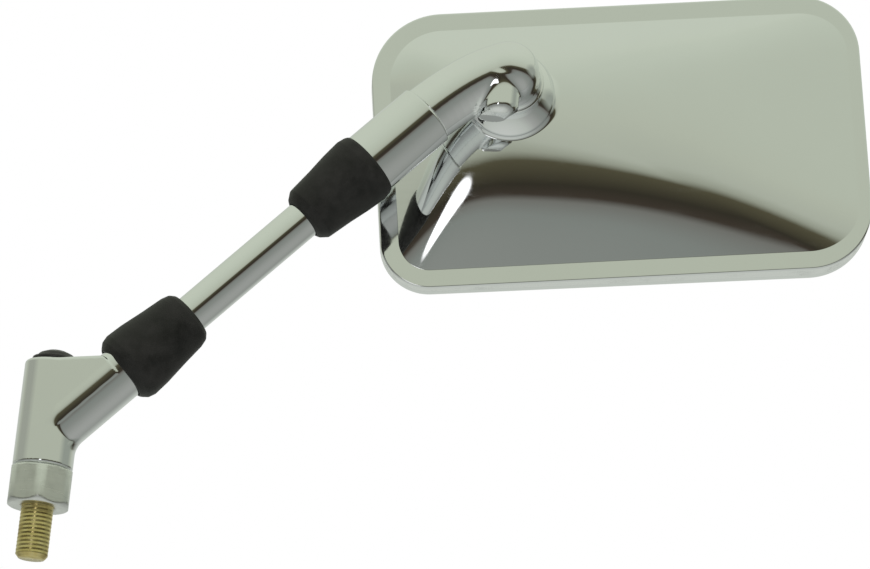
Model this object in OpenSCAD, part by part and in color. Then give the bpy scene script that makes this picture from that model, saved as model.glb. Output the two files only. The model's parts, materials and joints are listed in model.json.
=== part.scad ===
// Motorcycle mirror: a chrome head on a stem with two booted ball joints and a Y-shaped base.
// Z runs up along the mounting stud, the origin is the centre of the lock nut's lower face,
// the stem leans towards +X and the glass faces +Y. All sizes are in millimetres.

/* [Mounting] */
// Diameter of the mounting stud
stud_d = 10; // [8:0.5:11]
// Length of stud below the lock nut
stud_len = 16; // [10:1:30]
// Lock nut across flats
nut_af = 19; // [17:0.5:22]
// Lock nut height
nut_h = 12; // [8:0.5:16]

/* [Base casting] */
// Outer diameter of the upright barrel
barrel_d = 18.5; // [17.5:0.5:24]
// Height of the barrel's top above the lock nut's lower face
barrel_top = 45.4; // [42:0.2:60]
// Diameter of the recess for the bolt head
recess_d = 14; // [13:0.25:15]
// Diameter of the slanted branch
branch_d = 16.5; // [15.5:0.5:18]
// Height at which the branch axis leaves the barrel axis
branch_z = 22.3; // [20:0.1:26]
// Slope of the branch and stem above the horizontal
branch_angle = 47.7; // [40:0.1:52]
// Thickness of the web between the barrel and the branch
web_t = 17.6; // [16.6:0.1:18]
// Distance from the branch origin to the web's end
web_reach = 28.8; // [27:0.1:29.5]
// Rise of the cap above the barrel
cap_rise = 4; // [3:0.1:7]

/* [Ball joints] */
// Ball diameter
ball_d = 12; // [10:0.5:12]
// Clearance between a ball and its seats
ball_gap = 0.2; // [0.1:0.05:0.3]
// Neck diameter of the ball studs
neck_d = 6.5; // [5:0.5:7]
// Largest tilt of each ball joint
tilt_max = 15; // [5:1:16]
// Distance from the branch origin to the lower ball
lower_ball_at = 40; // [38:0.5:46]
// Distance between the two balls
ball_spacing = 85; // [75:1:110]
// Outer diameter of the socket nuts
socket_nut_d = 18.6; // [18.4:0.1:20]

/* [Stem] */
// Stem rod diameter
rod_d = 12; // [10:0.5:12.5]
// Outer diameter of the arm socket
arm_d = 20.3; // [20:0.1:21]
// Distance from the upper ball to the seam with the knuckle
seam_at = 31; // [28:0.5:40]
// Knuckle diameter beside the seam
knuckle_d = 18.6; // [17:0.1:19]
// Distance from the upper ball to the head pivot, along the stem
pivot_reach = 59.7; // [54:0.1:70]
// Sideways drop of the head pivot from the stem axis
pivot_drop = 8; // [4:0.5:9]

/* [Boots] */
// Widest diameter of the lower boot
lower_boot_d = 23.2; // [22.8:0.1:27]
// Widest diameter of the upper boot
upper_boot_d = 22.8; // [22.6:0.1:26]
// Diameter of the boots at the rod end
boot_end_d = 19; // [18:0.1:21]
// Reach of the lower boot along the rod, from the ball
lower_boot_reach = 18.6; // [17:0.1:22]
// Reach of the upper boot along the rod, from the ball
upper_boot_reach = 20.5; // [17:0.1:22]

/* [Head pivot] */
// Radius of the spherical boss on the shell
boss_r = 18; // [17:0.5:20]
// Outer diameter of the boss
boss_d = 28.6; // [26:0.2:30]
// Height of the wall that lifts the boss off the shell
boss_wall = 2.4; // [1.4:0.1:4]
// Diameter of the knuckle's hub
hub_d = 21; // [20:0.5:22]
// Pivot stud diameter
pivot_d = 6; // [5:0.5:6]
// Largest tilt of the head about each of its two cross axes
swing_max = 8; // [4:0.5:8]
// Clearance between the spherical faces
pivot_gap = 0.3; // [0.2:0.05:0.35]
// Distance from the stem axis back to the pivot centre
pivot_depth = 28; // [26:0.5:30]

/* [Head] */
// Head width
head_w = 155.8; // [140:0.2:180]
// Head height
head_h = 90.7; // [84:0.1:110]
// Roll of the head about the pivot at rest
head_roll = 8.85; // [0:0.05:15]
// Distance of the pivot from the left edge
pivot_from_left = 42.9; // [38:0.1:60]
// Distance of the pivot from the top edge
pivot_from_top = 31.1; // [30:0.1:45]
// Corner radius at the upper left
corner_ul = 23; // [16:0.5:26]
// Corner radius at the lower left
corner_ll = 15.5; // [12:0.5:26]
// Corner radius at the lower right
corner_lr = 20.5; // [12:0.5:26]
// Corner radius at the upper right
corner_ur = 19; // [12:0.5:26]
// Shell wall thickness
shell_wall = 1.5; // [1:0.1:2]
// Depth of the shell behind its rim, at the pivot
shell_depth = 13.5; // [12.5:0.5:18]
// Distance from the pivot to where the lower facet meets the flat
flat_low = 28; // [17:0.5:32]
// Distance from the pivot to where the left facet meets the flat
flat_left = 18; // [16:0.5:24]
// Radius of the rolled border's edge
border_round = 1.6; // [1:0.1:2.4]
// Width of the rolled border at the left, top and bottom
border_wide = 5.8; // [5:0.1:8]
// Width of the rolled border at the right
border_narrow = 4; // [3.5:0.1:6]
// Height of the rolled border at the left
border_low = 4; // [3.5:0.1:5]
// Height of the rolled border at the right
border_high = 7.5; // [5:0.1:8]
// Glass thickness
glass_t = 1.9; // [1.5:0.1:3]
// Width of the frame in front of the glass
frame_w = 5; // [4.4:0.1:7]

/* [Hidden] */
$fn = 64;
clear = 0.3;
snug = 0.05;
eps = 0.01;

// Stem axis: everything below is measured along it from the branch origin.
upper_ball_at = lower_ball_at + ball_spacing;
pivot_at = upper_ball_at + pivot_reach;
ball_r = ball_d / 2;
seat_r = ball_r + ball_gap;
rod_start = ball_r + 3.5;
shank_d = 6;
shank_len = 12;

// Sockets, measured from the ball centre, positive towards the rod
bore_r = seat_r + 0.1;
spigot_end = 1;
nut_back = -5.6;
nut_front = 6;
spring_back = -16.5;
seat_back = -8.5;
bore_back = spring_back;
spring_wire = 1.4;

// Where the pivot stands in the part's own frame
pivot_x = pivot_at * cos(branch_angle) + pivot_drop * sin(branch_angle);
pivot_z = branch_z + pivot_at * sin(branch_angle) - pivot_drop * cos(branch_angle);

// Head planes along Y
shell_back = pivot_depth - sqrt(pow(boss_r, 2) - pow(boss_d / 2, 2)) + boss_wall;
rim_y = shell_back + shell_depth;
carrier_t = 1.3;
carrier_inset = 2.5;
pad_t = 0.6;
lip_t = 1.2;
gasket_t = 0.5;
glass_y = rim_y + pad_t;
lip_y = glass_y + glass_t + gasket_t;
front_y = lip_y + lip_t;

// Head outline in the head's frame, whose origin is the pivot
left_x = -pivot_from_left;
right_x = head_w - pivot_from_left;
top_z = pivot_from_top;
low_z = pivot_from_top - head_h;

// Holes that let the head swing around the fixed pivot stud
both_swing = acos(pow(cos(swing_max), 2));
boss_hole_r = pivot_d / 2 + boss_r * sin(both_swing) + 0.2;
inner_r = boss_r - shell_wall;
liner_t = 0.9;
washer_r = inner_r - liner_t - 2 * pivot_gap;
washer_flat = 3.4;
washer_face = pivot_depth - washer_r + washer_flat;
pivot_spring_len = 7;
flat_washer_t = 1.2;
pivot_nut_h = 5;
pivot_nut_af = 10;
hub_rim_y = pivot_depth - boss_r + 2.6;

// Frames
module stem_frame() {
    translate([0, 0, branch_z]) rotate([0, 90 - branch_angle, 0]) children();
}

module lower_socket_frame() {
    stem_frame() translate([0, 0, lower_ball_at]) children();
}

module upper_socket_frame() {
    stem_frame() translate([0, 0, upper_ball_at]) rotate([0, 180, 0]) children();
}

// Pivot axis along Y, with local Z pointing to the glass and the origin at the pivot centre
module pivot_frame() {
    translate([pivot_x, pivot_depth, pivot_z]) rotate([-90, 0, 0]) children();
}

module head_frame() {
    translate([pivot_x, 0, pivot_z]) rotate([0, -head_roll, 0]) children();
}

// A flat outline laid in the head's plane and made solid between two depths
module slab(from_y, to_y) {
    translate([0, to_y, 0]) rotate([90, 0, 0]) linear_extrude(to_y - from_y) children();
}

// Turned rod with a small chamfer at both ends
module turned(r, length, chamfer) {
    rotate_extrude() polygon([[0, 0], [r - chamfer, 0], [r, chamfer], [r, length - chamfer],
        [r - chamfer, length], [0, length]]);
}

// Coil spring with closed end turns
function coil_height(turn, turns, length, wire) =
    let (free = length - wire, shut = wire * 1.03, live = (free - 2 * shut) / (turns - 2))
    turn < 1 ? turn * shut
        : turn < turns - 1 ? shut + (turn - 1) * live
        : free - (turns - turn) * shut;

module coil_spring(outer_d, wire, length, turns, steps = 18, sides = 6) {
    mean_r = (outer_d - wire) / 2;
    rings = turns * steps;
    points = [for (i = [0:rings]) for (j = [0:sides - 1])
        let (a = 360 * i / steps, b = 360 * j / sides, r = mean_r + wire / 2 * cos(b))
        [r * cos(a), r * sin(a),
            wire / 2 + coil_height(i / steps, turns, length, wire) + wire / 2 * sin(b)]];
    walls = [for (i = [0:rings - 1]) for (j = [0:sides - 1])
        let (k = (j + 1) % sides)
        [i * sides + j, (i + 1) * sides + j, (i + 1) * sides + k, i * sides + k]];
    start = [[for (j = [0:sides - 1]) j]];
    stop = [[for (j = [sides - 1:-1:0]) rings * sides + j]];
    polyhedron(points, concat(start, walls, stop), convexity = 10);
}

// Mounting hardware: above the lock nut's lower face the shank is a little thinner
bolt_seat = barrel_top - 11;
bolt_head_h = 6;
grip_d = stud_d - 0.4;
countersink = 0.9;

module mount_bolt() {
    color("goldenrod") difference() {
        union() {
            translate([0, 0, -stud_len]) intersection() {
                turned(stud_d / 2, stud_len + 1, 1);
                cylinder(d = stud_d, h = stud_len);
            }
            translate([0, 0, -1]) cylinder(d = grip_d, h = bolt_seat + 2);
            translate([0, 0, bolt_seat]) turned(recess_d / 2 - clear, bolt_head_h, 0.5);
        }
        translate([0, 0, bolt_seat + bolt_head_h - 3.5])
            cylinder(d = 8 / cos(30), h = 4, $fn = 6);
    }
}

module lock_nut() {
    corner_r = nut_af / sqrt(3);
    flat_r = nut_af / 2;
    drop = (corner_r - flat_r) * tan(30);
    color("gainsboro") difference() {
        intersection() {
            rotate([0, 0, 30]) cylinder(r = corner_r, h = nut_h, $fn = 6);
            rotate_extrude() polygon([[0, 0], [flat_r - 1, 0], [flat_r, 1],
                [corner_r + eps, 1 + 2 * drop], [corner_r + eps, nut_h - drop - eps],
                [flat_r, nut_h], [0, nut_h]]);
        }
        translate([0, 0, -1]) cylinder(d = grip_d + 2 * snug, h = nut_h + 2);
        translate([0, 0, -eps])
            cylinder(r1 = grip_d / 2 + countersink, r2 = grip_d / 2, h = countersink);
    }
}

// Base casting: upright barrel, slanted branch, the web between them and the crotch fillet
web_low = 2;
web_high = 6.1;

// A point beside the branch: how far along its axis and how far above it
function beside(along, above) = [
    along * cos(branch_angle) - above * sin(branch_angle),
    branch_z + along * sin(branch_angle) + above * cos(branch_angle)];

module base_web() {
    slab(-web_t / 2, web_t / 2) polygon([
        beside(web_reach - 22, web_low), beside(web_reach, web_low), beside(web_reach, web_high),
        [0, barrel_top - 0.1], [0, branch_z + 6]]);
}

module crotch_fillet(radius) {
    // The branch's lower edge leaves the barrel's side at this height
    reach = (barrel_d / 2 - branch_d / 2 * sin(branch_angle)) / cos(branch_angle);
    foot_z = branch_z + reach * sin(branch_angle) - branch_d / 2 * cos(branch_angle);
    tangent = radius * tan((90 - branch_angle) / 2);
    centre = [barrel_d / 2 + radius, foot_z - tangent];
    along = [cos(branch_angle), sin(branch_angle)];
    slab(-4, 4) difference() {
        polygon([[barrel_d / 2 - 3, centre[1]], [barrel_d / 2, centre[1]], centre,
            [barrel_d / 2 + tangent * along[0], foot_z + tangent * along[1]],
            [barrel_d / 2 - 1, foot_z + tangent + 3]]);
        translate(centre) circle(r = radius);
    }
}

cap_flange_r = recess_d / 2 + 0.25;

module base_casting() {
    color("silver") difference() {
        union() {
            translate([0, 0, nut_h]) turned(barrel_d / 2, barrel_top - nut_h, 0.8);
            stem_frame() cylinder(d = branch_d, h = lower_ball_at + spigot_end);
            base_web();
            crotch_fillet(6);
        }
        translate([0, 0, -1]) cylinder(d = grip_d + 2 * clear, h = barrel_top);
        translate([0, 0, bolt_seat]) cylinder(d = recess_d, h = barrel_top);
        translate([0, 0, barrel_top]) cylinder(r = cap_flange_r + clear, h = cap_rise);
        lower_socket_frame() translate([0, 0, bore_back])
            cylinder(r = bore_r, h = spigot_end - bore_back + 1);
    }
}

// Domed plug with a flange that covers the recess above the bolt head
module base_cap() {
    flange_r = cap_flange_r;
    flange_t = 1.6;
    dome_r = flange_r - 1.1;
    dome_h = cap_rise - flange_t;
    sphere_r = (pow(dome_r, 2) + pow(dome_h, 2)) / (2 * dome_h);
    color("#1a1a1a") translate([0, 0, barrel_top]) {
        translate([0, 0, -4.2]) cylinder(r = recess_d / 2 - snug, h = 4.2);
        rotate_extrude() polygon([[0, 0], [flange_r, 0], [flange_r, flange_t - 0.4],
            [flange_r - 0.4, flange_t], [0, flange_t]]);
        intersection() {
            translate([0, 0, flange_t + dome_h - sphere_r]) sphere(r = sphere_r);
            translate([0, 0, flange_t]) cylinder(r = dome_r, h = dome_h + 1);
        }
    }
}

// Ball joint parts, in the socket frame: the ball centre at 0, the rod towards +Z
module ball_spring() {
    color("dimgray") translate([0, 0, spring_back])
        coil_spring(2 * bore_r - 1, spring_wire, seat_back - spring_back, 4);
}

module ball_seat() {
    color("ivory") difference() {
        translate([0, 0, seat_back]) turned(bore_r - 0.2, -2.5 - seat_back, 0.4);
        sphere(r = seat_r);
        translate([0, 0, seat_back - 1]) cylinder(d = 3, h = 10);
    }
}

module socket_nut() {
    mouth_r = neck_d / 2 / cos(tilt_max) + 0.35;
    flats = socket_nut_d - 1.6;
    color("darkgray") difference() {
        union() {
            translate([0, 0, nut_back]) turned(socket_nut_d / 2, nut_front - 2.5 - nut_back, 0.4);
            intersection() {
                translate([0, 0, nut_front - 3]) cylinder(d = socket_nut_d, h = 3);
                translate([-socket_nut_d, -flats / 2, 0])
                    cube([2 * socket_nut_d, flats, nut_front]);
            }
        }
        translate([0, 0, nut_back - 1])
            cylinder(r = branch_d / 2 + snug, h = spigot_end - nut_back + 1.2);
        sphere(r = seat_r);
        rotate_extrude() polygon([[0, 0], [mouth_r, 0],
            [mouth_r + (nut_front + 1) * tan(tilt_max), nut_front + 1], [0, nut_front + 1]]);
    }
}

module ball_stud() {
    color("lightsteelblue") union() {
        sphere(r = ball_r);
        cylinder(d = neck_d, h = rod_start);
        translate([0, 0, rod_start - eps]) turned(shank_d / 2, shank_len, 0.6);
    }
}

// Rubber boot: its mouth grips the socket, its narrow end the rod
end_round = 4;

module boot(wide_d, mouth_z, mouth_r, mouth_lip, mouth_round, reach) {
    wide_r = wide_d / 2;
    end_r = boot_end_d / 2;
    cavity_r = socket_nut_d / 2 + snug;
    shoulder_z = mouth_z + mouth_round;
    color("#202022") rotate_extrude() difference() {
        union() {
            intersection() {
                union() {
                    translate([wide_r - mouth_round, shoulder_z]) circle(r = mouth_round);
                    translate([end_r - end_round, reach - end_round]) circle(r = end_round);
                }
                translate([0, mouth_z]) square([wide_r, reach - mouth_z]);
            }
            polygon([[0, mouth_z], [wide_r - mouth_round, mouth_z], [wide_r, shoulder_z],
                [wide_r, shoulder_z + 1.2], [end_r, reach - end_round],
                [end_r - end_round, reach], [0, reach]]);
        }
        translate([-1, mouth_z - 1]) square([mouth_r + 1, mouth_lip + 1]);
        polygon([[-1, nut_back - 0.1], [cavity_r, nut_back - 0.1], [cavity_r, nut_front + 0.4],
            [rod_d / 2 + clear, reach - 4], [-1, reach - 4]]);
        translate([-1, reach - 5]) square([1 + rod_d / 2 + clear, 10]);
    }
}

module lower_boot() {
    lip = 4.1;
    boot(lower_boot_d, nut_back - 0.1 - lip, branch_d / 2 + clear, lip + eps, 3, lower_boot_reach);
}

module upper_boot() {
    lip = 1.3;
    boot(upper_boot_d, nut_back - 0.1 - lip, arm_d / 2 + clear, lip, 2, upper_boot_reach);
}

module stem_rod() {
    length = ball_spacing - 2 * rod_start;
    color("silver") stem_frame() translate([0, 0, lower_ball_at + rod_start]) difference() {
        turned(rod_d / 2, length, 0.8);
        for (end = [0, 1])
            translate([0, 0, end * (length - shank_len - 0.5) - (1 - end)])
                cylinder(d = shank_d + 2 * snug, h = shank_len + 1.5);
    }
}

// Arm socket and knuckle
spigot_len = 12;
spigot_d = 15;

module arm_socket() {
    color("silver") upper_socket_frame() difference() {
        union() {
            translate([0, 0, -seam_at]) turned(arm_d / 2, seam_at + nut_back - 0.2, 0.5);
            translate([0, 0, nut_back - 1]) cylinder(d = branch_d, h = spigot_end - nut_back + 1);
        }
        translate([0, 0, bore_back]) cylinder(r = bore_r, h = spigot_end - bore_back + 1);
        translate([0, 0, -seam_at - 1]) cylinder(d = spigot_d, h = spigot_len + 1.3);
    }
}

module knuckle() {
    elbow_r = 9.8;
    seam = upper_ball_at + seam_at;
    color("silver") difference() {
        union() {
            stem_frame() translate([0, 0, seam - spigot_len])
                turned(spigot_d / 2 - snug, spigot_len + 1, 0.5);
            hull() {
                stem_frame() translate([0, 0, seam]) cylinder(d = knuckle_d, h = 2);
                translate([pivot_x, 0, pivot_z]) sphere(r = elbow_r, $fn = 36);
            }
            hull() {
                translate([pivot_x, 0, pivot_z]) sphere(r = elbow_r, $fn = 36);
                pivot_frame() translate([0, 0, hub_rim_y - pivot_depth - 4])
                    cylinder(d = hub_d, h = 4, $fn = 96);
            }
        }
        pivot_frame() {
            sphere(r = boss_r + 0.35);
            intersection() {
                sphere(r = boss_r + liner_t + 2 * pivot_gap);
                translate([0, 0, -pivot_depth]) cylinder(d = hub_d - 2.2, h = pivot_depth);
            }
            translate([0, 0, -pivot_depth]) cylinder(d = pivot_d + 2 * snug, h = pivot_depth);
        }
    }
}

// Head pivot stack, in the pivot frame: the centre at 0, the glass towards +Z
module pivot_stud() {
    stud_tip = washer_face - pivot_depth + pivot_spring_len + flat_washer_t + pivot_nut_h + 0.8;
    color("lightsteelblue") pivot_frame() translate([0, 0, -pivot_depth + 0.5])
        turned(pivot_d / 2, pivot_depth - 0.5 + stud_tip, 0.6);
}

// Part of a spherical shell around the pivot centre, with a hole in its middle
module cup(outer_r, thickness, hole_r, edge_r) {
    intersection() {
        difference() {
            sphere(r = outer_r);
            sphere(r = outer_r - thickness);
        }
        difference() {
            translate([0, 0, -outer_r - 1]) cylinder(r = edge_r, h = outer_r + 1);
            translate([0, 0, -outer_r - 2]) cylinder(r = hole_r, h = outer_r + 4);
        }
    }
}

module hub_liner() {
    color("dimgray") pivot_frame()
        cup(boss_r + pivot_gap + liner_t, liner_t, pivot_d / 2 + clear, hub_d / 2 - 1.6);
}

module inner_liner() {
    hole = pivot_d / 2 + inner_r * sin(swing_max) + 0.5;
    color("ivory") pivot_frame() cup(inner_r - pivot_gap, liner_t, hole, boss_d / 2 - 3.8);
}

module spherical_washer() {
    color("lightsteelblue") pivot_frame() difference() {
        intersection() {
            sphere(r = washer_r);
            translate([0, 0, -washer_r - 1]) cylinder(r = washer_r, h = washer_flat + 1);
        }
        translate([0, 0, -washer_r - 2]) cylinder(d = pivot_d + 2 * snug, h = washer_r);
    }
}

module pivot_spring() {
    color("dimgray") pivot_frame() translate([0, 0, washer_face - pivot_depth])
        coil_spring(11.5, 1.5, pivot_spring_len, 4);
}

module flat_washer() {
    color("lightsteelblue") pivot_frame()
        translate([0, 0, washer_face - pivot_depth + pivot_spring_len]) difference() {
            cylinder(d = 13, h = flat_washer_t);
            translate([0, 0, -1]) cylinder(d = pivot_d + 2 * snug, h = flat_washer_t + 2);
        }
}

module pivot_nut() {
    color("lightsteelblue") pivot_frame()
        translate([0, 0, washer_face - pivot_depth + pivot_spring_len + flat_washer_t])
            difference() {
                cylinder(r = pivot_nut_af / sqrt(3), h = pivot_nut_h, $fn = 6);
                translate([0, 0, -1]) cylinder(d = pivot_d + 2 * snug, h = pivot_nut_h + 2);
            }
}

// Head outline: corner centres and radii, starting at the lower left and running anticlockwise
corners = [
    [left_x + corner_ll, low_z + corner_ll, corner_ll, 180],
    [right_x - corner_lr, low_z + corner_lr, corner_lr, 270],
    [right_x - corner_ur, top_z - corner_ur, corner_ur, 0],
    [left_x + corner_ul, top_z - corner_ul, corner_ul, 90]];

// The outline drawn inwards by an inset, with true arcs at its corners
module outline(inset) {
    for (c = corners) translate([c[0], c[1]]) circle(r = c[2] - inset);
    polygon([for (c = corners) for (a = [0, 90])
        [c[0] + (c[2] - inset) * cos(c[3] + a), c[1] + (c[2] - inset) * sin(c[3] + a)]]);
}

module ring(outer_inset, inner_inset) {
    difference() {
        outline(outer_inset);
        outline(inner_inset);
    }
}

// Shell: rings of points run around the outline and then in towards the pivot.
arc_steps = 9;
side_steps = [12, 8, 12, 8];

// One loop of points; the right-hand inset may differ from the others
function lerp(a, b, t) = a + (b - a) * t;

function corner_point(c, t, wide, narrow) =
    let (c0 = corners[c], right = (c == 1 || c == 2), side = right ? narrow : wide,
        rx = c0[2] - side, rz = c0[2] - wide, a = c0[3] + 90 * t)
    [c0[0] + rx * cos(a), c0[1] + rz * sin(a)];

function loop_points(wide, narrow) = [
    for (c = [0:3]) each concat(
        [for (i = [0:arc_steps]) corner_point(c, i / arc_steps, wide, narrow)],
        [for (i = [1:side_steps[c] - 1])
            let (p = corner_point(c, 1, wide, narrow), q = corner_point((c + 1) % 4, 0, wide, narrow))
            lerp(p, q, i / side_steps[c])])];

// Share of the way from the left edge to the right one
function across(x) = (x - left_x) / head_w;

// Border height grows from left to right
function border_height(x) = lerp(border_low, border_high, across(x));

// Height of the shell's back above its rim: four facets that run up from the border
// and a flat round the pivot, melted into each other, more tightly near the border
flat_side = boss_d / 2 + 1;
flat_top = boss_d / 2 - 2;
function softness(share) = 0.4 + 0.5 * pow(1 - share, 2);

function facet(x, distance, room) =
    border_height(x) + distance * (shell_depth - border_height(x)) / room;

function shell_height(x, z, soft) =
    let (left_crease = left_x + border_wide,
        right_crease = right_x - border_narrow,
        low_crease = low_z + border_wide,
        top_crease = top_z - border_wide,
        heights = [
            facet(x, x - left_crease, -left_crease - flat_left),
            facet(x, right_crease - x, right_crease - flat_side),
            facet(x, z - low_crease, -low_crease - flat_low),
            facet(x, top_crease - z, top_crease - flat_top),
            shell_depth + 0.6],
        total = exp(-soft * (heights[0] - shell_depth)) + exp(-soft * (heights[1] - shell_depth))
            + exp(-soft * (heights[2] - shell_depth)) + exp(-soft * (heights[3] - shell_depth))
            + exp(-soft * (heights[4] - shell_depth)))
    shell_depth - ln(total) / soft;

// Ring of the border: drawn in by an inset and sunk below the border's own height
function border_ring(wide, narrow, sink) =
    [for (p = loop_points(wide, narrow)) [p[0], rim_y - border_height(p[0]) + sink, p[1]]];

function edge_ring(a) =
    let (inset = border_round * (1 - cos(a)))
    border_ring(inset, inset, border_round * (1 - sin(a)));

function rim_ring(inset) = [for (p = loop_points(inset, inset)) [p[0], rim_y, p[1]]];

// Ring on the back, a share of the way from the crease to the boss
function back_ring(share, sink) =
    let (soft = softness(share))
    [for (p = loop_points(border_wide, border_narrow))
        let (q = p / norm(p) * boss_d / 2, x = lerp(p[0], q[0], share), z = lerp(p[1], q[1], share),
            settle = border_height(p[0]) - shell_height(p[0], p[1], soft),
            h = shell_height(x, z, soft) + settle * pow(1 - share, 4))
        [x, rim_y - h + sink, z]];

// Ring on the spherical boss
function boss_ring(radius, at_r) =
    [for (p = loop_points(border_wide, border_narrow))
        let (q = p / norm(p) * at_r)
        [q[0], pivot_depth - sqrt(radius * radius - at_r * at_r), q[1]]];

// Ring below the shell's back, just inside the boss's edge
function shoulder_ring(at_r, sink) =
    [for (p = loop_points(border_wide, border_narrow))
        let (q = p / norm(p) * at_r)
        [q[0], rim_y - shell_height(q[0], q[1], softness(1)) + sink, q[1]]];

back_shares = [0, 0.06, 0.14, 0.24, 0.36, 0.48, 0.6, 0.72, 0.86, 1];
boss_steps = 6;
function boss_at(i, outer) = lerp(outer, boss_hole_r, i / boss_steps);

module back_shell() {
    inner_edge = boss_d / 2 - 0.4;
    sink = shell_wall * 1.15;
    outer_rings = concat(
        [rim_ring(0)],
        [for (a = [0:30:90]) edge_ring(a)],
        [for (s = back_shares) back_ring(s, 0)],
        [for (i = [0:boss_steps]) boss_ring(boss_r, boss_at(i, boss_d / 2))]);
    inner_rings = concat(
        [for (i = [boss_steps:-1:0]) boss_ring(inner_r, boss_at(i, inner_edge - 0.6))],
        [shoulder_ring(inner_edge - 0.5, sink)],
        [for (i = [len(back_shares) - 2:-1:1]) back_ring(back_shares[i], sink)],
        [border_ring(border_wide, border_narrow, shell_wall)],
        [border_ring(shell_wall, shell_wall, shell_wall)],
        [rim_ring(shell_wall)]);
    rings = concat(outer_rings, inner_rings);
    n = len(rings[0]);
    m = len(rings);
    faces = [for (i = [0:m - 1]) for (j = [0:n - 1])
        let (k = (j + 1) % n, i2 = (i + 1) % m)
        each [[i * n + j, i2 * n + k, i * n + k], [i * n + j, i2 * n + j, i2 * n + k]]];
    color("silver") head_frame()
        polyhedron([for (r = rings) each r], faces, convexity = 10);
}

// Glass and what holds it
module glass_carrier() {
    color("#303030") head_frame() slab(rim_y - carrier_t, rim_y) outline(carrier_inset);
}

module glass_pad() {
    color("#454545") head_frame() slab(rim_y, glass_y) outline(frame_w + 1);
}

module glass() {
    color("lightcyan") head_frame() slab(glass_y, glass_y + glass_t) outline(frame_w - 0.8);
}

module gasket() {
    color("#1c1c1c") head_frame() {
        slab(rim_y, lip_y) ring(frame_w - 1.9 + snug, frame_w - 0.8);
        slab(glass_y + glass_t, lip_y) ring(frame_w - 1.9 + snug, frame_w + 0.5);
    }
}

module front_frame() {
    color("silver") head_frame() {
        slab(rim_y, front_y - 0.6) ring(0, frame_w - 1.9);
        slab(lip_y, front_y - 0.6) ring(frame_w - 2, frame_w);
        slab(front_y - 0.6, front_y) ring(0.6, frame_w);
    }
}

mount_bolt();
lock_nut();
base_casting();
base_cap();
lower_socket_frame() ball_spring();  // lower_spring
lower_socket_frame() ball_seat();  // lower_ball_seat
lower_socket_frame() socket_nut();  // lower_socket_nut
lower_socket_frame() lower_boot();
lower_socket_frame() ball_stud();  // lower_ball_stud
stem_rod();
upper_socket_frame() ball_stud();  // upper_ball_stud
upper_socket_frame() upper_boot();
upper_socket_frame() socket_nut();  // upper_socket_nut
upper_socket_frame() ball_seat();  // upper_ball_seat
upper_socket_frame() ball_spring();  // upper_spring
arm_socket();
knuckle();
pivot_stud();
hub_liner();
inner_liner();
spherical_washer();
pivot_spring();
flat_washer();
pivot_nut();
back_shell();
glass_carrier();
glass_pad();
glass();
gasket();
front_frame();
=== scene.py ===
"""Looks of a motorcycle mirror: a chrome head, a stem with two booted ball joints and a Y-shaped base."""

import json
import logging
import math
from dataclasses import dataclass, field
from enum import Enum
from typing import Callable, Sequence

import bmesh
import bpy
import numpy as np
from mathutils import Matrix, Vector


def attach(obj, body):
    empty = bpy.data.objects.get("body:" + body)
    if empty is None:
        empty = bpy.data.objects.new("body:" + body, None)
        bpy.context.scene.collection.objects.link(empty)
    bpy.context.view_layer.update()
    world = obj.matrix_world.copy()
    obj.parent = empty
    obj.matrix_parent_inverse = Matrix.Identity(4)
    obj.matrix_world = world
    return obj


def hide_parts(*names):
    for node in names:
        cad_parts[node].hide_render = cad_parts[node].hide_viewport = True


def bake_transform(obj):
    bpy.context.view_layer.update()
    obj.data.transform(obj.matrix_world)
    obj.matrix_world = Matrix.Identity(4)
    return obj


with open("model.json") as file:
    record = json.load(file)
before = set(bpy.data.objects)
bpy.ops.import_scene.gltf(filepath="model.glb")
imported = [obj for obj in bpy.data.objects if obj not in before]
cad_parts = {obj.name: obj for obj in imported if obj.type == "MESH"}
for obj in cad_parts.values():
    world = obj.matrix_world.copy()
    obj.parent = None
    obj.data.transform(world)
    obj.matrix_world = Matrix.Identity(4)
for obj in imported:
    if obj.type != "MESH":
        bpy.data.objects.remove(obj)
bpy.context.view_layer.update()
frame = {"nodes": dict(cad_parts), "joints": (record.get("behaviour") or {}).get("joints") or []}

LOG = logging.getLogger("mirror")
MM = 0.001
Point2 = tuple[float, float]
Ring = list[tuple[float, float, float]]
Field3 = Callable[[np.ndarray], np.ndarray]


class Body(str, Enum):
    """The part's moving bodies, by their names in the record."""

    MOUNT = "mount"
    BASE = "base"
    LOWER_COLLAR = "lower_collar"
    ROD = "rod"
    UPPER_COLLAR = "upper_collar"
    ARM = "arm"
    ROLL_LINER = "roll_liner"
    TILT_LINER = "tilt_liner"
    HEAD = "head"


class Slot(str, Enum):
    """The record's material slots."""

    PLATED_STEEL = "plated_steel"
    NUT_STEEL = "nut_steel"
    SPRING_STEEL = "spring_steel"
    CHROME = "chrome"
    BLACK_PLASTIC = "black_plastic"
    SEAT_PLASTIC = "seat_plastic"
    RUBBER = "boot_rubber"
    GLASS = "mirror_glass"


# ---- Material recipes


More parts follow.
